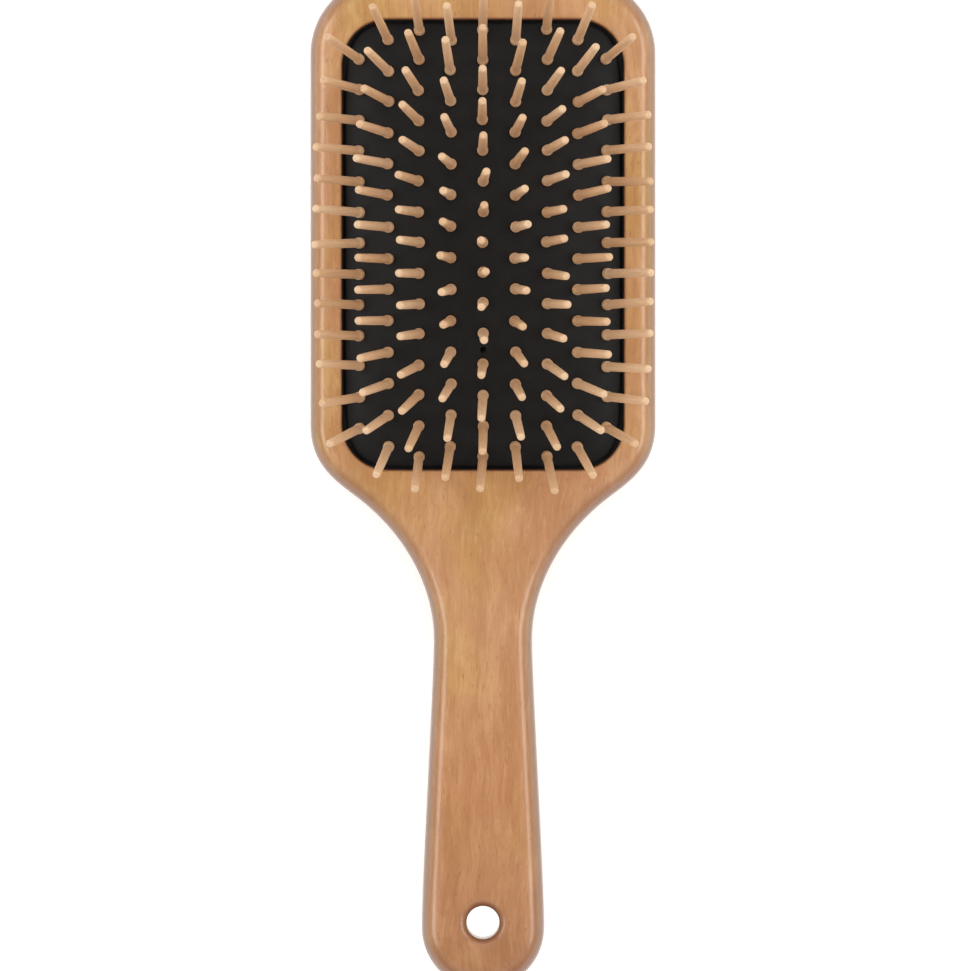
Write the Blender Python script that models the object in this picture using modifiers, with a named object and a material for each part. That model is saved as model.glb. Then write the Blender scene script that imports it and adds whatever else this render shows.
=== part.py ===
"""Pneumatic paddle brush: a one-piece wooden body with a flat handle and a hang
hole, a domed rubber cushion held in an undercut groove, and 127 turned wooden pins
pushed through the cushion in nine staggered columns.

Metres, +Z up. The brush lies on its flat back: +Y runs from the handle to the head,
+X to the right, and the pins point up. Lengths below are in millimetres unless a
name says otherwise, and are scaled once, when a mesh is made.
"""

import math

import bmesh
import bpy
from mathutils import Vector
from mathutils.geometry import delaunay_2d_cdt, interpolate_bezier

MM = 0.001

# ---------------------------------------------------------------- body
LENGTH = 249.4          # tip of the handle to the top of the head
HEAD_HALF = 42.5        # half the head's width
TOP_R = 19.0            # the head's upper corners
THICK = 14.0            # plank thickness
EDGE_R = 4.2            # rounding along both outlines
SHOULDER_Y = 14.2       # where the head's straight sides end
FLANK = (31.2, -3.5)    # the steepest point between head and neck
FLANK_DIR = (0.8, 0.6)
NECK = (12.1, -38.8)    # the handle's narrowest point
GRIP_HALF = 15.07       # half the handle's widest width, and its end radius
GRIP_Y = -LENGTH / 2 + GRIP_HALF
HOLE_R = 4.0            # hang hole
HOLE_Y = -108.2
HOLE_FLARE = 1.8        # countersunk rim, both faces

# ---------------------------------------------------------------- recess
PAD_Y = 58.5            # centre of the cushion along the body
PAD_HALF_X = 34.6       # the pocket's half width and half length
PAD_HALF_Y = 55.3
PAD_R = 11.3
FLOOR_Z = 4.5
GROOVE_LOW, GROOVE_HIGH, GROOVE_DEEP = 9.6, 12.1, 2.5
MOUTH = 0.7             # small chamfer at the pocket's mouth

# ---------------------------------------------------------------- cushion
WALL = 1.8              # rubber thickness
RIM_GAP = 0.4           # between the rising wall and the pocket
FLANGE_LOW, FLANGE_HIGH, FLANGE_OUT = 9.9, 11.8, 2.0
CREST_Z = THICK + 10.5
SWELL = 0.75            # 1 is a parabola; lower is fuller
VENT_R = 0.75
VENT_V = -26.0          # along the cushion, from its centre

# ---------------------------------------------------------------- pins
PITCH_X, BEND_X = 7.9, 61.0      # between columns, round the dome, and the radius it bends to
PITCH_Y = {15: 7.46, 14: 7.66, 13: 7.54}  # along a column, by its number of pins
PIN_SHIFT = 0.3                  # the pin field sits this far towards the head's top
PIN_OUT = 19.5                   # from the rubber to the tip
COLLAR_R, COLLAR_OUT = 1.45, 1.5
SHAFT_R, TIP_R = 1.18, 0.98
TIP_ROUND = 0.7
SIDES = 8
HOLE_PLAY = 0.36                 # round each pin, at the corners
BAR_TOP, BAR_LOW, BAR_HALF = WALL + 0.4, WALL + 1.4, 1.0
PIN_IN = BAR_LOW + 0.15


def clear_scene():
    for obj in list(bpy.data.objects):
        bpy.data.objects.remove(obj, do_unlink=True)


def material(name, colour, roughness, coat=0.0):
    made = bpy.data.materials.new(name)
    made.use_nodes = True
    shader = made.node_tree.nodes["Principled BSDF"]
    shader.inputs["Base Color"].default_value = (*colour, 1.0)
    shader.inputs["Roughness"].default_value = roughness
    shader.inputs["Metallic"].default_value = 0.0
    shader.inputs["Coat Weight"].default_value = coat
    made.diffuse_color = (*colour, 1.0)
    return made


def collection(name, hidden=False):
    made = bpy.data.collections.new(name)
    bpy.context.scene.collection.children.link(made)
    made.hide_render = hidden
    return made


def mesh_object(name, bm, where, look=None, origin=(0.0, 0.0, 0.0), parent=None):
    """The bmesh, in millimetres, as an object whose origin is at `origin`."""
    bmesh.ops.translate(bm, verts=bm.verts, vec=-Vector(origin))
    bmesh.ops.scale(bm, verts=bm.verts, vec=(MM, MM, MM))
    bmesh.ops.recalc_face_normals(bm, faces=bm.faces)
    mesh = bpy.data.meshes.new(name)
    bm.to_mesh(mesh)
    bm.free()
    obj = bpy.data.objects.new(name, mesh)
    where.objects.link(obj)
    if look:
        mesh.materials.append(look)
    if parent:
        obj.parent = parent
    else:
        obj.location = Vector(origin) * MM
    return obj


def cut(obj, cutter, operation="DIFFERENCE"):
    cutter.hide_render = True
    cutter.display_type = "WIRE"
    made = obj.modifiers.new(cutter.name, "BOOLEAN")
    made.operation = operation
    made.solver = "EXACT"
    made.object = cutter


def axis_empty(name, at, where, parent=None):
    made = bpy.data.objects.new(name, None)
    made.empty_display_size = 0.01
    where.objects.link(made)
    here = Vector(at) * MM
    if parent:
        made.parent = parent
        here = here - parent.matrix_world.translation
    made.location = here
    bpy.context.view_layer.update()
    return made


# ---------------------------------------------------------------- the wooden body
def arc_run(p0, p1, corner, n):
    """A quarter round from p0 to p1 whose tangents meet at `corner`."""
    k = 0.5523
    h0 = [a + (c - a) * k for a, c in zip(p0, corner)]
    h1 = [a + (c - a) * k for a, c in zip(p1, corner)]
    return bezier_run(p0, h0, h1, p1, n)


def bezier_run(p0, h0, h1, p1, n):
    return [tuple(p[:2]) for p in interpolate_bezier(*(Vector((*q, 0.0)) for q in (p0, h0, h1, p1)), n + 1)]


def half_outline():
    """The right half of the outline, from the head's top to the handle's end."""
    top = LENGTH / 2
    runs = [
        [(0.0, top)],
        arc_run((HEAD_HALF - TOP_R, top), (HEAD_HALF, top - TOP_R), (HEAD_HALF, top), 8),
        bezier_run(
            (HEAD_HALF, SHOULDER_Y),
            (HEAD_HALF, SHOULDER_Y - 9.5),
            (FLANK[0] + 7.0 * FLANK_DIR[0], FLANK[1] + 7.0 * FLANK_DIR[1]),
            FLANK,
            7,
        ),
        bezier_run(
            FLANK,
            (FLANK[0] - 14.0 * FLANK_DIR[0], FLANK[1] - 14.0 * FLANK_DIR[1]),
            (NECK[0], NECK[1] + 14.0),
            NECK,
            9,
        )[1:],
        bezier_run(NECK, (NECK[0], NECK[1] - 9.2), (GRIP_HALF, GRIP_Y + 12.0), (GRIP_HALF, GRIP_Y), 6)[1:],
        arc_run((GRIP_HALF, GRIP_Y), (0.0, -LENGTH / 2), (GRIP_HALF, -LENGTH / 2), 8)[1:],
    ]
    return [p for run in runs for p in run]


def plank(name, where, look):
    """The outline as a 2D curve, extruded to the plank's thickness, then made a mesh."""
    right = half_outline()
    outline = right + [(-x, y) for x, y in reversed(right[1:-1])]
    curve = bpy.data.curves.new(name + "_outline", "CURVE")
    curve.dimensions = "2D"
    curve.fill_mode = "BOTH"
    curve.extrude = THICK / 2 * MM
    spline = curve.splines.new("POLY")
    spline.points.add(len(outline) - 1)
    for point, (x, y) in zip(spline.points, outline):
        point.co = (x * MM, y * MM, 0.0, 1.0)
    spline.use_cyclic_u = True
    flat = bpy.data.objects.new(name + "_outline", curve)
    flat.location = (0.0, 0.0, THICK / 2 * MM)
    where.objects.link(flat)
    bpy.context.view_layer.update()
    mesh = bpy.data.meshes.new_from_object(flat.evaluated_get(bpy.context.evaluated_depsgraph_get()))
    bm = bmesh.new()
    bm.from_mesh(mesh)
    bmesh.ops.remove_doubles(bm, verts=bm.verts, dist=1e-6)
    bmesh.ops.dissolve_limit(bm, angle_limit=0.001, verts=bm.verts, edges=bm.edges)
    bmesh.ops.recalc_face_normals(bm, faces=bm.faces)
    bm.to_mesh(mesh)
    bm.free()
    mesh.materials.clear()
    mesh.materials.append(look)
    obj = bpy.data.objects.new(name, mesh)
    obj.matrix_world = flat.matrix_world
    where.objects.link(obj)
    bpy.data.objects.remove(flat, do_unlink=True)
    rounding = obj.modifiers.new("rounded_edges", "BEVEL")
    rounding.width = EDGE_R * MM
    rounding.segments = 3
    rounding.limit_method = "ANGLE"
    rounding.angle_limit = math.radians(60)
    rounding.use_clamp_overlap = False
    return obj


def rounded_rect(half_x, half_y, r, grow, per_corner):
    """Points round a rectangle with rounded corners, grown outwards by `grow`."""
    made = []
    for quarter, (sx, sy) in enumerate(((1, 1), (-1, 1), (-1, -1), (1, -1))):
        cx, cy = sx * (half_x - r), sy * (half_y - r)
        for i in range(per_corner + 1):
            a = math.pi / 2 * (quarter + i / per_corner)
            made.append((cx + (r + grow) * math.cos(a), cy + (r + grow) * math.sin(a)))
    return made


def stack(rings, centre=(0.0, 0.0)):
    """A closed solid through equal rings of (points, z), capped at both ends."""
    bm = bmesh.new()
    levels = [[bm.verts.new((x + centre[0], y + centre[1], z)) for x, y in points] for points, z in rings]
    n = len(levels[0])
    for low, high in zip(levels, levels[1:]):
        for i in range(n):
            bm.faces.new((low[i], low[(i + 1) % n], high[(i + 1) % n], high[i]))
    bm.faces.new(reversed(levels[0]))
    bm.faces.new(levels[-1])
    return bm


def recess_cutter(where):
    def ring(grow, z):
        return rounded_rect(PAD_HALF_X, PAD_HALF_Y, PAD_R, grow, 6), z

    bm = stack(
        [
            ring(-0.8, FLOOR_Z),
            ring(0.0, FLOOR_Z + 0.8),
            ring(0.0, GROOVE_LOW),
            ring(GROOVE_DEEP, GROOVE_LOW),
            ring(GROOVE_DEEP, GROOVE_HIGH),
            ring(0.0, GROOVE_HIGH),
            ring(0.0, THICK - MOUTH),
            ring(2.0 * MOUTH, THICK + MOUTH),
        ],
        (0.0, PAD_Y),
    )
    return mesh_object("recess_cutter", bm, where)


def hole_cutter(where):
    """A straight hole flared at both faces, turned from its profile."""
    def ring(r, z):
        n = 20
        return [(r * math.cos(2 * math.pi * i / n), r * math.sin(2 * math.pi * i / n)) for i in range(n)], z

    bm = stack(
        [
            ring(HOLE_R + 2 * HOLE_FLARE, -HOLE_FLARE),
            ring(HOLE_R, HOLE_FLARE),
            ring(HOLE_R, THICK - HOLE_FLARE),
            ring(HOLE_R + 2 * HOLE_FLARE, THICK + HOLE_FLARE),
        ],
        (0.0, HOLE_Y),
    )
    return mesh_object("hang_hole_cutter", bm, where)


# ---------------------------------------------------------------- the dome
def dome_z(x, v):
    """Height of the rubber's outer face at x, v from the cushion's centre."""
    a, b = PAD_HALF_X - RIM_GAP, PAD_HALF_Y - RIM_GAP
    X, V = abs(x) / a, abs(v) / b
    n = 2.2 + 6.5 * min(1.0, (max(X, V) / 0.94) ** 4)
    u = (X**n + V**n) ** (1.0 / n) if X or V else 0.0
    return FLANGE_HIGH + (CREST_Z - FLANGE_HIGH) * max(0.0, 1.0 - u * u) ** SWELL


def lean(x, v):
    """Unit direction of a pin standing at x, v: fanned out from the centre."""
    X, V = x / 30.0, v / 50.0
    sx = X * (7.9 + 2.9 * X**2 - 0.7 * V**2 - 4.6 * V**4) / PIN_OUT
    sy = V * (4.8 + 3.1 * V**2 - 5.9 * X**2 + 5.2 * X**2 * V**4) / PIN_OUT
    return Vector((sx, sy, math.sqrt(1.0 - sx * sx - sy * sy)))


def round_the_dome(s, bend):
    """How far from the centre a point lies that is s away along the dome."""
    return s - s**3 / (6.0 * bend * bend)


def pin_columns():
    """Nine columns, left to right, each a list of (x, v), from the handle's side up."""
    columns = []
    for c in range(-4, 5):
        count = {0: 15, 1: 14, 2: 15, 3: 14, 4: 13}[abs(c)]
        x = round_the_dome(c * PITCH_X, BEND_X)
        columns.append([(x, PIN_SHIFT + (k - (count - 1) / 2) * PITCH_Y[count]) for k in range(count)])
    return columns


def frame_at(x, v):
    """Foot of a pin on the rubber, its direction, and two directions across it."""
    way = lean(x, v)
    across = Vector((1.0, 0.0, 0.0))
    across = (across - way * across.dot(way)).normalized()
    return Vector((x, v, dome_z(x, v))), way, across, way.cross(across)


def pin_ring(x, v, r, h):
    foot, way, e1, e2 = frame_at(x, v)
    turns = [2 * math.pi * (i + 0.5) / SIDES for i in range(SIDES)]
    return [foot + way * h + (e1 * math.cos(t) + e2 * math.sin(t)) * r for t in turns]


def on_dome(point, way):
    """Slides a point along `way` until it lies on the dome."""
    for _ in range(12):
        point = point + way * ((dome_z(point.x, point.y) - point.z) / way.z) * 0.9
    return point


# ---------------------------------------------------------------- the cushion
def cushion_bmesh():
    """The dome with a hole for each pin and a vent, and the flange round it."""
    rim = rounded_rect(PAD_HALF_X, PAD_HALF_Y, PAD_R, -RIM_GAP, 6)
    inner = rounded_rect(PAD_HALF_X, PAD_HALF_Y, PAD_R, -RIM_GAP - 1.3, 6)
    top, below, loops = [], [], []
    for column in pin_columns():
        for x, v in column:
            way = lean(x, v)
            ring = [on_dome(p, way) for p in pin_ring(x, v, COLLAR_R + HOLE_PLAY, 0.0)]
            loops.append(range(len(top), len(top) + len(ring)))
            top += ring
            below += [p - way * WALL for p in ring]
    vent = [
        Vector((VENT_R * math.cos(2 * math.pi * i / 6), VENT_V + VENT_R * math.sin(2 * math.pi * i / 6), 0.0))
        for i in range(6)
    ]
    loops.append(range(len(top), len(top) + 6))
    for p in vent:
        p.z = dome_z(p.x, p.y)
        top.append(p)
        below.append(p - Vector((0.0, 0.0, WALL)))
    for x, v in inner:
        p = Vector((x, v, dome_z(x, v)))
        top.append(p)
        below.append(p - lean(x, v) * WALL)
    first = len(top)
    for x, v in rim:
        top.append(Vector((x, v, FLANGE_HIGH)))
        below.append(None)
    under = rounded_rect(PAD_HALF_X, PAD_HALF_Y, PAD_R, -RIM_GAP - 1.5, 6)
    for i, (x, v) in enumerate(under):
        below[first + i] = Vector((x, v, FLANGE_LOW))
    edges = [(loop[i], loop[(i + 1) % len(loop)]) for loop in loops for i in range(len(loop))]
    border = range(first, len(top))
    edges += [(border[i], border[(i + 1) % len(border)]) for i in range(len(border))]
    faces = delaunay_2d_cdt([Vector((p.x, p.y)) for p in top], edges, [], 1, 1e-6)
    points, _, found, origins = faces[0], faces[1], faces[2], faces[3]
    index = {i: origins[i][0] for i in range(len(points))}
    holes = [
        (sum(top[i].x for i in loop) / len(loop), sum(top[i].y for i in loop) / len(loop), loop) for loop in loops
    ]

    bm = bmesh.new()
    up = [bm.verts.new(p) for p in top]
    down = [bm.verts.new(p) for p in below]
    member = {}
    for n, loop in enumerate(loops):
        for i in loop:
            member[i] = n
    for face in found:
        corners = [index[i] for i in face]
        owners = {member.get(i) for i in corners}
        if len(owners) == 1 and None not in owners:
            continue  # inside one hole
        bm.faces.new([up[i] for i in corners])
        bm.faces.new([down[i] for i in reversed(corners)])
    for loop in loops:
        for i in range(len(loop)):
            a, b = loop[i], loop[(i + 1) % len(loop)]
            bm.faces.new((up[a], down[a], down[b], up[b]))
    flange = [
        [bm.verts.new((x, v, z)) for x, v in rounded_rect(PAD_HALF_X, PAD_HALF_Y, PAD_R, FLANGE_OUT, 6)]
        for z in (FLANGE_HIGH, FLANGE_LOW)
    ]
    n = len(border)
    rings = [[up[i] for i in border], flange[0], flange[1], [down[i] for i in border]]
    for one, two in zip(rings, rings[1:]):
        for i in range(n):
            bm.faces.new((one[i], two[i], two[(i + 1) % n], one[(i + 1) % n]))
    bmesh.ops.translate(bm, verts=bm.verts, vec=(0.0, PAD_Y, 0.0))
    bmesh.ops.triangulate(bm, faces=bm.faces)
    return bm


# ---------------------------------------------------------------- the pins
def loft(bm, rings):
    levels = [[bm.verts.new(p) for p in ring] for ring in rings]
    n = len(levels[0])
    for low, high in zip(levels, levels[1:]):
        for i in range(n):
            bm.faces.new((low[i], low[(i + 1) % n], high[(i + 1) % n], high[i]))
    bm.faces.new(reversed(levels[0]))
    bm.faces.new(levels[-1])


def pins_bmesh(group):
    bm = bmesh.new()
    for x, v in group:
        loft(
            bm,
            [
                pin_ring(x, v, COLLAR_R, -PIN_IN),
                pin_ring(x, v, COLLAR_R, COLLAR_OUT),
                pin_ring(x, v, SHAFT_R, COLLAR_OUT + 0.12),
                pin_ring(x, v, TIP_R, PIN_OUT - TIP_ROUND),
                pin_ring(x, v, TIP_R * 0.55, PIN_OUT),
            ],
        )
    bmesh.ops.translate(bm, verts=bm.verts, vec=(0.0, PAD_Y, 0.0))
    return bm


def bar_bmesh(group):
    """The thin bar behind the rubber that keeps a group of pins one solid."""
    rings = []
    for x, v in group:
        foot, way, e1, _ = frame_at(x, v)
        rings.append(
            [
                foot - way * BAR_LOW - e1 * BAR_HALF,
                foot - way * BAR_LOW + e1 * BAR_HALF,
                foot - way * BAR_TOP + e1 * BAR_HALF,
                foot - way * BAR_TOP - e1 * BAR_HALF,
            ]
        )
    bm = bmesh.new()
    loft(bm, rings)
    bmesh.ops.translate(bm, verts=bm.verts, vec=(0.0, PAD_Y, 0.0))
    return bm


def groups_of(column):
    """Five groups, from the handle's side up."""
    sizes = {15: (3, 3, 3, 3, 3), 14: (3, 3, 2, 3, 3), 13: (3, 2, 3, 2, 3)}[len(column)]
    made, at = [], 0
    for size in sizes:
        made.append(column[at : at + size])
        at += size
    return made


def hinge_point(column):
    """The axis about which a column tilts: along Y, at the mean height of its feet."""
    return (column[0][0], PAD_Y, round(sum(dome_z(x, v) for x, v in column) / len(column), 1))


def main():
    clear_scene()
    brush = collection("paddle_brush")
    cutters = collection("cutters", hidden=True)
    maple = material("satin_maple", (0.62, 0.38, 0.22), 0.42, 0.25)
    pin_wood = material("pin_maple", (0.66, 0.42, 0.24), 0.5)
    rubber = material("black_rubber", (0.016, 0.017, 0.018), 0.62)

    body = plank("wooden_body", brush, maple)
    cut(body, recess_cutter(cutters))
    cut(body, hole_cutter(cutters))

    press = axis_empty("cushion_press_axis", (0.0, PAD_Y, FLANGE_LOW), brush)
    mesh_object("rubber_cushion", cushion_bmesh(), brush, rubber, (0.0, PAD_Y, FLANGE_LOW), press)

    for number, column in enumerate(pin_columns(), 1):
        pivot = hinge_point(column)
        axis = axis_empty(f"pin_column_{number}_axis", pivot, brush, press)
        for letter, group in zip("abcde", groups_of(column)):
            name = f"pins_{number}{letter}"
            pins = mesh_object(name, pins_bmesh(group), brush, pin_wood, pivot, axis)
            bar = mesh_object(name + "_bar", bar_bmesh(group), cutters, None, pivot, axis)
            cut(pins, bar, "UNION")


main()
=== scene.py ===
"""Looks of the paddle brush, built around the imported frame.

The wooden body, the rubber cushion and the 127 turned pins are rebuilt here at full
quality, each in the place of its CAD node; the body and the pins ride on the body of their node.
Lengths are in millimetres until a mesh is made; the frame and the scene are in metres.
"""

import math
import random

import bpy
import numpy as np
from mathutils import Matrix, Vector
from mathutils.geometry import delaunay_2d_cdt, interpolate_bezier


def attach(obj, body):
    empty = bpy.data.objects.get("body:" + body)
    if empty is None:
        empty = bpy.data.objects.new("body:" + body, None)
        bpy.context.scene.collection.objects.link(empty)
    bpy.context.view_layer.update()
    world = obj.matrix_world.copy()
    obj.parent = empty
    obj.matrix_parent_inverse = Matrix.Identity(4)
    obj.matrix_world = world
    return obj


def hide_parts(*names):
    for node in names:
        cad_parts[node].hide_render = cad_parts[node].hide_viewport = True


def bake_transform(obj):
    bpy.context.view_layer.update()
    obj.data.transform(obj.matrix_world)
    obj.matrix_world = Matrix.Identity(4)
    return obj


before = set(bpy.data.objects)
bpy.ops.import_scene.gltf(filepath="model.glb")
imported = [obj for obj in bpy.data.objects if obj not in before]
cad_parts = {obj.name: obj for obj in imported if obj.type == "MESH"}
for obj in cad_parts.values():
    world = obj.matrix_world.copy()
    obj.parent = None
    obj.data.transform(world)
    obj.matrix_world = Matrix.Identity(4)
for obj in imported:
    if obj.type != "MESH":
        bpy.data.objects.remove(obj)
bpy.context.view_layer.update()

MM = 0.001

# The design's own dimensions, as the CAD has them.
LENGTH, HEAD_HALF, TOP_R, THICK = 249.4, 42.5, 19.0, 14.0
SHOULDER_Y, FLANK, FLANK_DIR = 14.2, (31.2, -3.5), (0.8, 0.6)
NECK, GRIP_HALF = (12.1, -38.8), 15.07
GRIP_Y = -LENGTH / 2 + GRIP_HALF
HOLE_R, HOLE_Y, HOLE_ROUND = 4.0, -108.2, 2.4
PAD_Y, PAD_HALF_X, PAD_HALF_Y, PAD_R = 58.5, 34.6, 55.3, 11.3
FLOOR_Z, GROOVE_LOW, GROOVE_HIGH, GROOVE_DEEP = 4.5, 9.6, 12.1, 2.5
WALL, RIM_GAP = 1.8, 0.4
FLANGE_LOW, FLANGE_HIGH, FLANGE_OUT = 9.9, 11.8, 2.0
CREST_Z, SWELL = THICK + 10.5, 0.75
VENT_R, VENT_V = 0.75, -26.0
PITCH_X, BEND_X = 7.9, 61.0
PITCH_Y, PIN_SHIFT = {15: 7.46, 14: 7.66, 13: 7.54}, 0.3
PIN_OUT = 19.5


# ---------------------------------------------------------------- meshes
def make_mesh(name, points, faces, material, smooth=True, sharp=40.0, attributes=()):
    """points in millimetres, as an object in metres with its origin at the frame's."""
    mesh = bpy.data.meshes.new(name)
    mesh.from_pydata((np.asarray(points, float) * MM).tolist(), [], faces)
    for key, kind, values in attributes:
        made = mesh.attributes.new(key, kind, "POINT")
        slot = "vector" if kind == "FLOAT_VECTOR" else "value"
        made.data.foreach_set(slot, np.asarray(values, np.float32).ravel())
    mesh.validate()
    mesh.shade_smooth() if smooth else None
    if smooth:
        mesh.set_sharp_from_angle(angle=math.radians(sharp))
    mesh.materials.append(material)
    mesh.update()
    obj = bpy.data.objects.new(name, mesh)
    bpy.context.scene.collection.objects.link(obj)
    return obj


def strip(faces, one, two, closed=True):
    n = len(one)
    for i in range(n if closed else n - 1):
        j = (i + 1) % n
        faces.append((one[i], one[j], two[j], two[i]))


def fill(faces, points, loops, up=True):
    """Triangles between index loops that lie in one level plane; the first loop is the outside."""
    order = [i for loop in loops for i in loop]
    flat = [Vector((points[i][0], points[i][1])) for i in order]
    at, edges = 0, []
    for loop in loops:
        n = len(loop)
        edges += [(at + i, at + (i + 1) % n) for i in range(n)]
        at += n
    owner = np.repeat(range(len(loops)), [len(loop) for loop in loops])
    _, _, found, _, _, _ = delaunay_2d_cdt(flat, edges, [], 1, 1e-7)
    for face in found:
        inner = {owner[i] for i in face}
        if len(inner) == 1 and 0 not in inner:
            continue
        corners = [order[i] for i in face]
        a, b, c = (np.array(points[i][:2]) for i in corners[:3])
        area = (b[0] - a[0]) * (c[1] - a[1]) - (b[1] - a[1]) * (c[0] - a[0])
        faces.append(tuple(corners if (area > 0) == up else corners[::-1]))


def bezier_run(p0, h0, h1, p1, n):
    return [tuple(p[:2]) for p in interpolate_bezier(*(Vector((*q, 0.0)) for q in (p0, h0, h1, p1)), n + 1)]


def arc_run(p0, p1, corner, n):
    k = 0.5523
    h0 = [a + (c - a) * k for a, c in zip(p0, corner)]
    h1 = [a + (c - a) * k for a, c in zip(p1, corner)]
    return bezier_run(p0, h0, h1, p1, n)


def straight(p0, p1, n):
    return [tuple(a + (b - a) * i / n for a, b in zip(p0, p1)) for i in range(n + 1)]


def body_outline():
    """The whole outline, counter-clockwise, as an array of points."""
    top = LENGTH / 2
    runs = [
        straight((0.0, top), (HEAD_HALF - TOP_R, top), 6),
        arc_run((HEAD_HALF - TOP_R, top), (HEAD_HALF, top - TOP_R), (HEAD_HALF, top), 26),
        straight((HEAD_HALF, top - TOP_R), (HEAD_HALF, SHOULDER_Y), 26),
        bezier_run(
            (HEAD_HALF, SHOULDER_Y),
            (HEAD_HALF, SHOULDER_Y - 9.5),
            (FLANK[0] + 7.0 * FLANK_DIR[0], FLANK[1] + 7.0 * FLANK_DIR[1]),
            FLANK,
            26,
        ),
        bezier_run(
            FLANK,
            (FLANK[0] - 14.0 * FLANK_DIR[0], FLANK[1] - 14.0 * FLANK_DIR[1]),
            (NECK[0], NECK[1] + 14.0),
            NECK,
            34,
        ),
        bezier_run(NECK, (NECK[0], NECK[1] - 9.2), (GRIP_HALF, GRIP_Y + 12.0), (GRIP_HALF, GRIP_Y), 32),
        arc_run((GRIP_HALF, GRIP_Y), (0.0, -LENGTH / 2), (GRIP_HALF, -LENGTH / 2), 26),
    ]
    right = [runs[0][0]] + [p for run in runs for p in run[1:]]
    left = [(-x, y) for x, y in reversed(right[1:-1])]
    return np.array((right + left)[::-1])


def inward(outline):
    """Unit normals that point into a counter-clockwise outline."""
    along = np.roll(outline, -1, 0) - np.roll(outline, 1, 0)
    normal = np.stack([-along[:, 1], along[:, 0]], 1)
    return normal / np.linalg.norm(normal, axis=1)[:, None]


def rounded_rect(grow, per_corner=20, step=2.2):
    """Points round the pocket's outline, grown outwards, counter-clockwise from the right side."""
    made = []
    centres = []
    for quarter, (sx, sy) in enumerate(((1, 1), (-1, 1), (-1, -1), (1, -1))):
        cx, cy = sx * (PAD_HALF_X - PAD_R), sy * (PAD_HALF_Y - PAD_R)
        for i in range(per_corner + 1):
            a = math.pi / 2 * (quarter + i / per_corner)
            centres.append((cx, cy, math.cos(a), math.sin(a)))
    n = len(centres)
    for i in range(n):
        a, b = centres[i], centres[(i + 1) % n]
        made.append(a)
        gap = math.hypot(a[0] - b[0], a[1] - b[1])
        for k in range(1, max(1, round(gap / step))):
            t = k / max(1, round(gap / step))
            made.append((a[0] + (b[0] - a[0]) * t, a[1] + (b[1] - a[1]) * t, a[2], a[3]))
    return np.array([(cx + (PAD_R + grow) * c, cy + (PAD_R + grow) * s) for cx, cy, c, s in made])


def smoothstep(x, low, high):
    t = np.clip((x - low) / (high - low), 0.0, 1.0)
    return t * t * (3.0 - 2.0 * t)


def build_body(material):
    points, faces = [], []

    def ring(xy, z):
        start = len(points)
        z = np.broadcast_to(z, (len(xy),))
        points.extend((x, y, h) for (x, y), h in zip(xy, z))
        return list(range(start, start + len(xy)))

    outline = body_outline()
    into = inward(outline)
    waist = 1.0 - smoothstep(np.abs(outline[:, 1] + 38.0), 12.0, 58.0)
    across = 5.3 - 0.1 * waist         # how far the rounding reaches in from the side
    deep = across + 0.5                # and down from the face

    def edge(turn, top):
        """The outline's ring where the surface has turned by `turn`, from side to face."""
        inset = across * (1.0 - math.cos(turn))
        z = deep * (1.0 - math.sin(turn))
        return ring(outline + into * inset[:, None], THICK - z if top else z)

    steps = 11
    rings = [ring(outline + into * (across + 0.7)[:, None], 0.0)]
    rings += [edge(math.pi / 2 * (1 - i / steps), False) for i in range(steps + 1)]
    rings += [ring(outline, deep + (THICK - 2 * deep) * t) for t in (0.33, 0.67)]
    rings += [edge(math.pi / 2 * i / steps, True) for i in range(steps + 1)]
    rings += [ring(outline + into * (across + 0.7)[:, None], THICK)]
    for low, high in zip(rings, rings[1:]):
        strip(faces, low, high)

    # the pocket, from its softened mouth down to the floor
    mouth = 0.85
    profile = [(mouth + 0.35, THICK)]
    profile += [
        (mouth * (1 - math.sin(a)), THICK - mouth * (1 - math.cos(a)))
        for a in (math.pi / 2 * i / 6 for i in range(7))
    ]
    profile += [
        (0.0, GROOVE_HIGH + 0.1),
        (0.1, GROOVE_HIGH),
        (GROOVE_DEEP, GROOVE_HIGH),
        (GROOVE_DEEP, GROOVE_LOW),
        (0.0, GROOVE_LOW),
        (0.0, FLOOR_Z + 0.8),
        (-0.25, FLOOR_Z + 0.25),
        (-0.8, FLOOR_Z),
    ]
    pocket = [ring(rounded_rect(g) + (0.0, PAD_Y), z) for g, z in profile]
    for high, low in zip(pocket, pocket[1:]):
        strip(faces, low, high)
    fill(faces, points, [pocket[-1]], True)

    # the hang hole, rounded over at both faces
    turns = np.linspace(0.0, 2 * math.pi, 56, endpoint=False)
    circle = np.stack([np.cos(turns), np.sin(turns)], 1)
    rise = [math.pi / 2 * i / 9 for i in range(10)]
    shape = [(HOLE_R + HOLE_ROUND + 0.35, THICK)]
    shape += [(HOLE_R + HOLE_ROUND * (1 - math.sin(a)), THICK - 1.0 * HOLE_ROUND * (1 - math.cos(a))) for a in rise]
    shape += [(r, THICK - z) for r, z in reversed(shape)]
    hole = [ring(circle * r + (0.0, HOLE_Y), z) for r, z in shape]
    for high, low in zip(hole, hole[1:]):
        strip(faces, low, high)

    fill(faces, points, [rings[-1], pocket[0], hole[0]], True)
    fill(faces, points, [rings[0], hole[-1]], False)
    return make_mesh("maple_body", points, faces, material, sharp=50.0)


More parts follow.
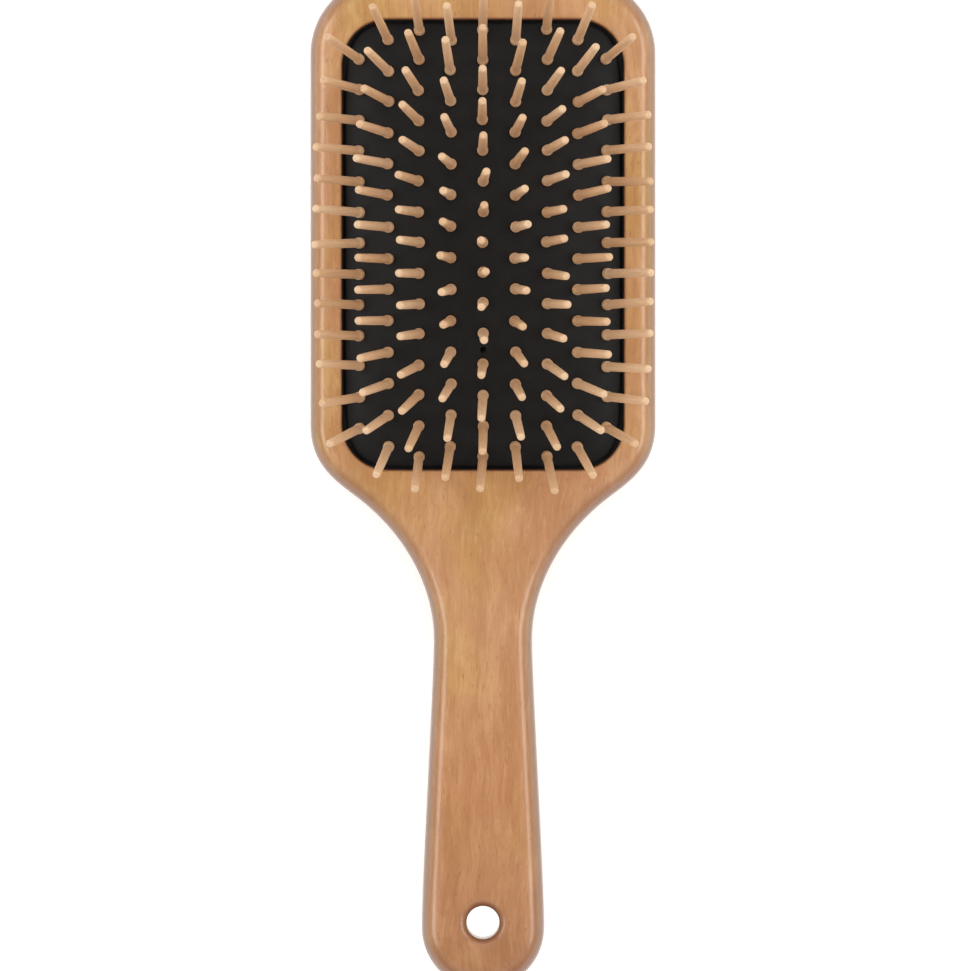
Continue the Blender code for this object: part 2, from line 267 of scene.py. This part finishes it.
# ---------------------------------------------------------------- dome and pins
def dome_z(x, v):
    """Height of the rubber's outer face, for arrays of x and v."""
    a, b = PAD_HALF_X - RIM_GAP, PAD_HALF_Y - RIM_GAP
    X = np.maximum(np.abs(np.asarray(x, float)) / a, 1e-6)
    V = np.maximum(np.abs(np.asarray(v, float)) / b, 1e-6)
    m = np.minimum((X**10 + V**10) ** 0.1, 1.0)
    n = 2.2 + 6.5 * np.minimum(1.0, (m / 0.94) ** 4)
    u = (X**n + V**n) ** (1.0 / n)
    return FLANGE_HIGH + (CREST_Z - FLANGE_HIGH) * np.maximum(0.0, 1.0 - u * u) ** SWELL


def lean(x, v):
    X, V = x / 30.0, v / 50.0
    sx = X * (7.9 + 2.9 * X**2 - 0.7 * V**2 - 4.6 * V**4) / PIN_OUT
    sy = V * (4.8 + 3.1 * V**2 - 5.9 * X**2 + 5.2 * X**2 * V**4) / PIN_OUT
    return Vector((sx, sy, math.sqrt(1.0 - sx * sx - sy * sy)))


def round_the_dome(s, bend):
    return s - s**3 / (6.0 * bend * bend)


def pin_columns():
    columns = []
    for c in range(-4, 5):
        count = {0: 15, 1: 14, 2: 15, 3: 14, 4: 13}[abs(c)]
        x = round_the_dome(c * PITCH_X, BEND_X)
        columns.append([(x, PIN_SHIFT + (k - (count - 1) / 2) * PITCH_Y[count]) for k in range(count)])
    return columns


def groups_of(column):
    sizes = {15: (3, 3, 3, 3, 3), 14: (3, 3, 2, 3, 3), 13: (3, 2, 3, 2, 3)}[len(column)]
    made, at = [], 0
    for size in sizes:
        made.append(column[at : at + size])
        at += size
    return made


def build_cushion(material):
    """The rubber as one closed shell: domed face, flange in the groove, hollow back."""
    rim = rounded_rect(-RIM_GAP, per_corner=16, step=1.0)
    n = len(rim)
    feet = np.array([p for column in pin_columns() for p in column])
    levels = [math.sin(math.pi / 2 * t) ** 1.15 for t in np.linspace(0.0, 1.0, 64)[1:]]

    def skin(scale, z_of):
        xy = rim * scale
        return [(x, v + PAD_Y, z) for (x, v), z in zip(xy, z_of(xy[:, 0], xy[:, 1]))]

    def outer(x, v):
        z = dome_z(x, v)
        near = (x[:, None] - feet[None, :, 0]) ** 2 + (v[:, None] - feet[None, :, 1]) ** 2
        # the rubber draws down a little at each pin and swells between them
        sunk = np.exp(-near / (2 * 1.25**2)).sum(1) * 0.32
        fade = smoothstep(z, FLANGE_HIGH, FLANGE_HIGH + 1.6)
        return z - sunk * fade

    points, faces = [(0.0, PAD_Y, float(outer(np.array([0.0]), np.array([0.0]))[0]))], []
    face_rings = []
    for t in levels:
        start = len(points)
        points.extend(skin(t, outer))
        face_rings.append(list(range(start, start + n)))
    for i in range(n):
        faces.append((0, face_rings[0][i], face_rings[0][(i + 1) % n]))
    for one, two in zip(face_rings, face_rings[1:]):
        strip(faces, one, two)
        faces[-n:] = [f[::-1] for f in faces[-n:]]
    edge = []
    for grow, z in (
        (0.15 - RIM_GAP, FLANGE_HIGH + 0.02),
        (FLANGE_OUT - 0.3, FLANGE_HIGH),
        (FLANGE_OUT, FLANGE_HIGH - 0.3),
        (FLANGE_OUT, FLANGE_LOW + 0.3),
        (FLANGE_OUT - 0.3, FLANGE_LOW),
        (-RIM_GAP - 1.9, FLANGE_LOW),
    ):
        start = len(points)
        points.extend((x, v + PAD_Y, z) for x, v in rounded_rect(grow, per_corner=16, step=1.0))
        edge.append(list(range(start, start + n)))
    rings = [face_rings[-1], *edge]
    back = []
    for t in (0.93, 0.86, 0.76, 0.62, 0.45, 0.25):
        start = len(points)
        points.extend(skin(t, lambda x, v: np.maximum(dome_z(x, v) - WALL * 1.15, FLANGE_LOW + 0.3)))
        back.append(list(range(start, start + n)))
    rings += back
    for one, two in zip(rings, rings[1:]):
        strip(faces, one, two)
        faces[-n:] = [f[::-1] for f in faces[-n:]]
    points.append((0.0, PAD_Y, CREST_Z - WALL))
    last = len(points) - 1
    for i in range(n):
        faces.append((last, back[-1][(i + 1) % n], back[-1][i]))
    faces = [f[::-1] for f in faces]
    return make_mesh("rubber_air_cushion", points, faces, material, sharp=60.0)


def drill_vent(obj):
    """A small hole through the rubber."""
    bpy.ops.mesh.primitive_cylinder_add(vertices=24, radius=VENT_R * MM, depth=8 * MM)
    tool = bpy.context.active_object
    z = float(dome_z(np.array([0.0]), np.array([VENT_V]))[0])
    tool.location = (0.0, (PAD_Y + VENT_V) * MM, z * MM)
    cut = obj.modifiers.new("vent", "BOOLEAN")
    cut.operation, cut.solver, cut.object = "DIFFERENCE", "EXACT", tool
    bpy.context.view_layer.update()
    made = bpy.data.meshes.new_from_object(obj.evaluated_get(bpy.context.evaluated_depsgraph_get()))
    obj.modifiers.clear()
    old, obj.data = obj.data, made
    bpy.data.meshes.remove(old)
    bpy.data.objects.remove(tool, do_unlink=True)
    obj.data.name = obj.name


def pin_profile(length):
    """(radius, height) from just under the rubber to the domed tip."""
    tip, blunt = 0.97, 0.62
    shape = [(1.24, -0.9), (1.32, -0.35), (1.36, 0.1), (1.36, 0.85), (1.34, 1.05), (1.28, 1.22), (1.19, 1.36), (1.13, 1.52)]
    shape += [(1.12, 2.4), (1.11, 5.5), (1.095, 8.5), (1.07, 11.5), (1.04, 14.5), (1.00, length - blunt - 1.2)]
    shape += [(tip * math.cos(a) ** 0.8, length - blunt + blunt * math.sin(a)) for a in (math.radians(d) for d in (6, 22, 38, 54, 70, 81))]
    return shape


def build_pins(name, group, seeds, material):
    """The pins of one group, each its own turned solid: no two stand quite alike."""
    points, faces, local, tone = [], [], [], []
    sides = 18
    turns = np.linspace(0.0, 2 * math.pi, sides, endpoint=False)
    for (x, v), seed in zip(group, seeds):
        rng = random.Random(seed)
        way = lean(x, v)
        way = (way + Vector((rng.gauss(0, 0.017), rng.gauss(0, 0.022), 0.0))).normalized()
        x, v = x + max(-0.15, min(0.15, rng.gauss(0, 0.10))), v + max(-0.15, min(0.15, rng.gauss(0, 0.14)))
        foot = Vector((x, v + PAD_Y, float(dome_z(np.array([x]), np.array([v]))[0]) - 0.25))
        length = PIN_OUT + 0.2 + rng.uniform(-0.3, 0.25)
        e1 = Vector((1.0, 0.0, 0.0))
        e1 = (e1 - way * e1.dot(way)).normalized()
        e2 = way.cross(e1)
        twist, shift, shade = rng.uniform(0, 6.28), rng.uniform(-400, 400), rng.random()
        first = len(points)
        profile = pin_profile(length)
        for r, h in profile:
            for t in turns:
                c, s = math.cos(t), math.sin(t)
                points.append(tuple(foot + way * h + (e1 * c + e2 * s) * r))
                ct, st = math.cos(t + twist), math.sin(t + twist)
                local.append((r * ct + shift, r * st, h + shift))
                tone.append(shade)
        for k in range(len(profile) - 1):
            low = list(range(first + k * sides, first + (k + 1) * sides))
            strip(faces, low, [i + sides for i in low])
        points.append(tuple(foot + way * length))
        local.append((shift, 0.0, length + shift))
        points.append(tuple(foot + way * profile[0][1]))
        local.append((shift, 0.0, shift))
        tone += [shade, shade]
        top, bottom = len(points) - 2, len(points) - 1
        ring = first + (len(profile) - 1) * sides
        for i in range(sides):
            j = (i + 1) % sides
            faces.append((top, ring + i, ring + j))
            faces.append((bottom, first + j, first + i))
    return make_mesh(
        name, points, faces, material, sharp=60.0,
        attributes=(("grain_at", "FLOAT_VECTOR", local), ("tone", "FLOAT", tone)),
    )


# ---------------------------------------------------------------- materials
class Nodes:
    """Small helper for laying out a node tree."""

    def __init__(self, name):
        self.material = bpy.data.materials.new(name)
        self.material.use_nodes = True
        self.tree = self.material.node_tree
        self.tree.nodes.clear()

    def add(self, kind, inputs=(), **settings):
        node = self.tree.nodes.new(kind)
        for key, value in settings.items():
            setattr(node, key, value)
        for key, value in dict(inputs).items():
            socket = node.inputs[key]
            if isinstance(value, bpy.types.NodeSocket):
                self.tree.links.new(value, socket)
            else:
                socket.default_value = value
        return node

    def math(self, operation, a, b=0.0, clamp=False):
        return self.add("ShaderNodeMath", {0: a, 1: b}, operation=operation, use_clamp=clamp).outputs[0]

    def scaled(self, vector, scale, shift=(0.0, 0.0, 0.0)):
        return self.add("ShaderNodeMapping", {"Vector": vector, "Scale": scale, "Location": shift}).outputs[0]

    def noise(self, vector, scale=1.0, detail=3.0, rough=0.5, distort=0.0):
        return self.add(
            "ShaderNodeTexNoise",
            {"Vector": vector, "Scale": scale, "Detail": detail, "Roughness": rough, "Distortion": distort},
        ).outputs[0]

    def ramp(self, value, stops):
        node = self.add("ShaderNodeValToRGB", {"Fac": value})
        elements = node.color_ramp.elements
        while len(elements) < len(stops):
            elements.new(0.5)
        for element, (at, colour) in zip(elements, stops):
            element.position = at
            element.color = (*colour, 1.0) if len(colour) == 3 else colour
        return node.outputs[0]

    def spread(self, value, low, high, out_low=0.0, out_high=1.0):
        return self.add(
            "ShaderNodeMapRange",
            {"Value": value, "From Min": low, "From Max": high, "To Min": out_low, "To Max": out_high},
        ).outputs[0]

    def mix(self, factor, a, b, blend="MIX"):
        node = self.add("ShaderNodeMix", data_type="RGBA", blend_type=blend)
        for index, value in ((0, factor), (6, a), (7, b)):
            socket = node.inputs[index]
            if isinstance(value, bpy.types.NodeSocket):
                self.tree.links.new(value, socket)
            elif index:
                socket.default_value = (*value, 1.0)
            else:
                socket.default_value = value
        return node.outputs[2]

    def finish(self, **inputs):
        shader = self.add("ShaderNodeBsdfPrincipled")
        for key, value in inputs.items():
            socket = shader.inputs[key.replace("_", " ")]
            if isinstance(value, bpy.types.NodeSocket):
                self.tree.links.new(value, socket)
            else:
                socket.default_value = value
        self.tree.links.new(shader.outputs[0], self.add("ShaderNodeOutputMaterial").inputs["Surface"])
        return self.material


def maple_material():
    """Plain-sawn maple under satin lacquer, its grain along the brush."""
    n = Nodes("lacquered_maple")
    coords = n.add("ShaderNodeTexCoord")
    where, facing = coords.outputs["Object"], coords.outputs["Normal"]
    # slow sideways wander of the grain, so that no streak is ruled
    wander = n.noise(n.scaled(where, (22.0, 30.0, 22.0)), detail=2.0)
    drift = n.add("ShaderNodeCombineXYZ", {"X": n.math("MULTIPLY", n.math("SUBTRACT", wander, 0.5), 0.010)}).outputs[0]
    bent = n.add("ShaderNodeVectorMath", {0: where, 1: drift}, operation="ADD").outputs[0]

    bands = n.noise(n.scaled(bent, (150.0, 9.0, 90.0)), detail=2.0, rough=0.5)
    cloud = n.noise(n.scaled(bent, (95.0, 42.0, 95.0), (0.3, 0.1, 0.0)), detail=3.0, rough=0.62, distort=0.6)
    patches = n.noise(n.scaled(where, (40.0, 24.0, 40.0), (0.7, 0.4, 0.0)), detail=2.0, rough=0.5, distort=0.4)
    fibres = n.noise(n.scaled(bent, (1050.0, 120.0, 1050.0)), detail=3.0, rough=0.62)
    fine = n.noise(n.scaled(bent, (2700.0, 430.0, 2700.0)), detail=2.0, rough=0.6)
    flecks = n.noise(n.scaled(bent, (1700.0, 430.0, 1700.0), (0.0, 2.0, 0.0)), detail=2.0, rough=0.55)
    rays = n.noise(n.scaled(bent, (1300.0, 520.0, 1300.0), (3.0, 0.0, 0.0)), detail=1.0, rough=0.5)

    yellow = n.ramp(bands, ((0.32, (0.555, 0.288, 0.100)), (0.68, (0.645, 0.352, 0.138))))
    pink = n.ramp(bands, ((0.32, (0.570, 0.272, 0.135)), (0.68, (0.665, 0.345, 0.190))))
    base = n.mix(n.spread(patches, 0.42, 0.58), yellow, pink)
    mottle = n.mix(n.spread(cloud, 0.60, 0.36, 0.0, 0.46), base, (0.455, 0.205, 0.082))
    lifted = n.mix(n.spread(cloud, 0.52, 0.72, 0.0, 0.42), mottle, (0.750, 0.460, 0.235))
    streak = n.mix(n.spread(fibres, 0.52, 0.74, 0.0, 0.46), lifted, (0.420, 0.170, 0.072))
    light = n.mix(n.spread(fibres, 0.46, 0.26, 0.0, 0.34), streak, (0.765, 0.490, 0.265))
    pores = n.mix(n.spread(flecks, 0.63, 0.72, 0.0, 0.42), light, (0.330, 0.125, 0.055))
    flash = n.mix(n.spread(rays, 0.66, 0.80, 0.0, 0.20), pores, (0.800, 0.540, 0.330))
    grain = n.mix(n.spread(fine, 0.40, 0.68, 0.0, 0.18), flash, (0.430, 0.190, 0.085))
    # the plank's slow change of tone along its length
    along = n.spread(n.add("ShaderNodeSeparateXYZ", {0: where}).outputs["Y"], -LENGTH / 2 * MM, LENGTH / 2 * MM)
    slow = n.ramp(
        along,
        (
            (0.00, (0.63, 0.555, 0.53)), (0.20, (0.800, 0.735, 0.655)), (0.38, (0.835, 0.820, 0.810)),
            (0.50, (0.860, 0.838, 0.830)), (0.62, (0.90, 0.905, 0.89)), (1.00, (0.90, 0.925, 0.90)),
        ),
    )
    toned = n.mix(1.0, n.mix(1.0, grain, slow, "MULTIPLY"), (1.15, 1.18, 1.10), "MULTIPLY")
    # painted shade: the rounded edges and the sides are darkened by how far they turn from the face, standing in for
    # the dim light they get; end grain soaks up lacquer and goes darker
    turned = n.add("ShaderNodeSeparateXYZ", {0: facing})
    upright = n.math("ABSOLUTE", turned.outputs["Z"])
    painted_side_shade_mask = n.ramp(upright, ((0.0, (0.56,) * 3), (0.18, (0.70,) * 3), (0.45, (0.82,) * 3), (0.90, (0.0,) * 3)))
    # the wood's colour with the painted shade mixed in where the surface turns away from the face
    side = n.mix(painted_side_shade_mask, toned, (0.205, 0.117, 0.065))
    colour = n.mix(n.spread(n.math("ABSOLUTE", turned.outputs["Y"]), 0.15, 0.75, 0.0, 0.55), side, (0.290, 0.105, 0.048))

    height = n.math("ADD", n.math("MULTIPLY", fibres, 0.6), n.math("MULTIPLY", fine, 0.4))
    bump = n.add("ShaderNodeBump", {"Strength": 0.22, "Distance": 0.00012, "Height": height}).outputs[0]
    rough = n.spread(n.noise(n.scaled(where, (60.0, 30.0, 60.0)), detail=3.0), 0.3, 0.7, 0.38, 0.50)
    return n.finish(
        Base_Color=colour, Roughness=rough, Normal=bump, IOR=1.5, Specular_IOR_Level=0.2,
        Coat_Weight=0.75, Coat_Roughness=0.17, Coat_IOR=1.5,
    )


def pin_material():
    """Turned hardwood pins: straight grain along each pin, and a tone of their own."""
    n = Nodes("turned_maple")
    where = n.add("ShaderNodeAttribute", attribute_name="grain_at").outputs["Vector"]
    tone = n.add("ShaderNodeAttribute", attribute_name="tone").outputs["Fac"]
    fibres = n.noise(n.scaled(where, (2.6, 2.6, 0.16)), detail=3.0, rough=0.6)
    fine = n.noise(n.scaled(where, (7.0, 7.0, 0.7)), detail=2.0)
    base = n.ramp(tone, ((0.0, (0.720, 0.455, 0.255)), (0.5, (0.790, 0.525, 0.310)), (1.0, (0.840, 0.590, 0.370))))
    streak = n.mix(n.spread(fibres, 0.50, 0.75, 0.0, 0.40), base, (0.58, 0.30, 0.15))
    light = n.mix(n.spread(fibres, 0.48, 0.25, 0.0, 0.30), streak, (0.88, 0.65, 0.42))
    colour = n.mix(n.spread(fine, 0.4, 0.7, 0.0, 0.16), light, (0.45, 0.24, 0.13))
    bump = n.add("ShaderNodeBump", {"Strength": 0.18, "Distance": 0.00008, "Height": fibres}).outputs[0]
    return n.finish(Base_Color=colour, Roughness=n.spread(fine, 0.3, 0.7, 0.42, 0.52), Normal=bump, IOR=1.5, Specular_IOR_Level=0.25, Coat_Weight=0.08, Coat_Roughness=0.3)


def rubber_material():
    """Matt black moulded rubber, faintly mottled by its own bloom."""
    n = Nodes("black_rubber")
    where = n.add("ShaderNodeTexCoord").outputs["Object"]
    bloom = n.noise(n.scaled(where, (110.0, 110.0, 110.0)), detail=4.0, rough=0.6)
    skin = n.noise(n.scaled(where, (3800.0, 3800.0, 3800.0)), detail=2.0)
    colour = n.ramp(bloom, ((0.30, (0.0070, 0.0070, 0.0072)), (0.72, (0.0140, 0.0135, 0.0130))))
    bump = n.add("ShaderNodeBump", {"Strength": 0.22, "Distance": 0.00006, "Height": skin}).outputs[0]
    return n.finish(Base_Color=colour, Roughness=n.spread(bloom, 0.3, 0.7, 0.56, 0.70), Normal=bump, IOR=1.5, Specular_IOR_Level=0.2)


# ---------------------------------------------------------------- the brush
maple, pin_wood, rubber = maple_material(), pin_material(), rubber_material()

body = build_body(maple)
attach(body, "wooden_body")
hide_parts("wooden_body")

cushion = build_cushion(rubber)
drill_vent(cushion)
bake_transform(cushion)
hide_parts("rubber_cushion")

seed = 100
for number, column in enumerate(pin_columns(), 1):
    for letter, group in zip("abcde", groups_of(column)):
        seeds = range(seed, seed + len(group))
        seed += len(group)
        pins = build_pins(f"turned_pins_{number}{letter}", group, seeds, pin_wood)
        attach(pins, f"pin_column_{number}")
        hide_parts(f"pins_{number}{letter}")


# ---------------------------------------------------------------- floor, light, camera
def floor():
    bpy.ops.mesh.primitive_plane_add(size=6.0, location=(0.0, 0.0, -0.0002))
    obj = bpy.context.active_object
    obj.name = "floor"
    n = Nodes("pale_floor")
    where = n.add("ShaderNodeTexCoord").outputs["Object"]
    tone = n.noise(n.scaled(where, (3.0, 3.0, 3.0)), detail=2.0)
    colour = n.ramp(tone, ((0.3, (0.88, 0.88, 0.88)), (0.7, (0.90, 0.90, 0.90))))
    # an acrylic table that glows faintly all over; right under the hang hole a brighter disc is painted light, lifting
    # the shade inside the hole
    spot = n.add("ShaderNodeVectorMath", {0: where, 1: (0.0, HOLE_Y * MM, 0.0)}, operation="DISTANCE").outputs["Value"]
    # painted light: emission rises from 0.42 to 1.15 inside the small disc under the hang hole
    table_glow_and_painted_hole_light = n.spread(spot, 0.0046, 0.0050, 1.15, 0.42)
    obj.data.materials.append(
        n.finish(
            Base_Color=colour, Roughness=0.9, Specular_IOR_Level=0.1,
            Emission_Color=(1.0, 1.0, 1.0, 1.0), Emission_Strength=table_glow_and_painted_hole_light,
        )
    )


def softbox(name, at, towards, size, power, colour=(1.0, 1.0, 1.0)):
    light = bpy.data.lights.new(name, "AREA")
    light.shape = "RECTANGLE"
    light.size, light.size_y = size
    light.energy = power
    light.color = colour
    obj = bpy.data.objects.new(name, light)
    obj.location = at
    obj.rotation_euler = (Vector(towards) - Vector(at)).to_track_quat("-Z", "Y").to_euler()
    obj.visible_camera = False
    bpy.context.scene.collection.objects.link(obj)
    return obj


floor()
softbox("left_softbox", (-1.45, 0.15, 0.98), (0.0, 0.0, 0.0), (1.7, 0.60), 12.5)
softbox("right_softbox", (1.45, 0.15, 0.98), (0.0, 0.0, 0.0), (1.7, 0.60), 13.0)
softbox("far_softbox", (0.0, 1.35, 1.25), (0.0, 0.0, 0.0), (1.5, 0.50), 3.6)
softbox("near_softbox", (0.0, -1.35, 1.35), (0.0, 0.0, 0.0), (1.4, 0.50), 2.0)

world = bpy.data.worlds.new("studio")
world.use_nodes = True
# a light tent: a bright ring around a duller roof, dim walls and a pale backdrop at the floor's far edge
sky = world.node_tree
height = sky.nodes.new("ShaderNodeSeparateXYZ")
ring = sky.nodes.new("ShaderNodeValToRGB")
stops = ((0.0, 0.86), (0.035, 0.86), (0.06, 0.18), (0.35, 0.30), (0.60, 0.68), (0.86, 0.70), (1.0, 0.34))
for spare in range(len(stops) - 2):
    ring.color_ramp.elements.new(0.5)
for element, (at, grey) in zip(ring.color_ramp.elements, stops):
    element.position = at
    element.color = (grey, grey, grey, 1.0)
sky.links.new(sky.nodes.new("ShaderNodeTexCoord").outputs["Generated"], height.inputs[0])
sky.links.new(height.outputs["Z"], ring.inputs[0])
sky.links.new(ring.outputs["Color"], sky.nodes["Background"].inputs["Color"])
sky.nodes["Background"].inputs["Strength"].default_value = 1.06
bpy.context.scene.world = world
bpy.context.scene.view_settings.view_transform = "Standard"
bpy.context.scene.view_settings.look = "None"

PX_MM = 4.07            # how the brush fills the frame: pixels per millimetre at the wood's face
DISTANCE = 1900.0       # from the wood's face
camera = bpy.data.objects.new("camera", bpy.data.cameras.new("camera"))
camera.location = (0.5 * MM, -0.7 * MM, (THICK + DISTANCE) * MM)
camera.data.sensor_width = 36.0
camera.data.lens = 36.0 * DISTANCE / (971.0 / PX_MM)
camera.data.clip_start, camera.data.clip_end = 0.05, 20.0
bpy.context.scene.collection.objects.link(camera)
bpy.context.scene.camera = camera
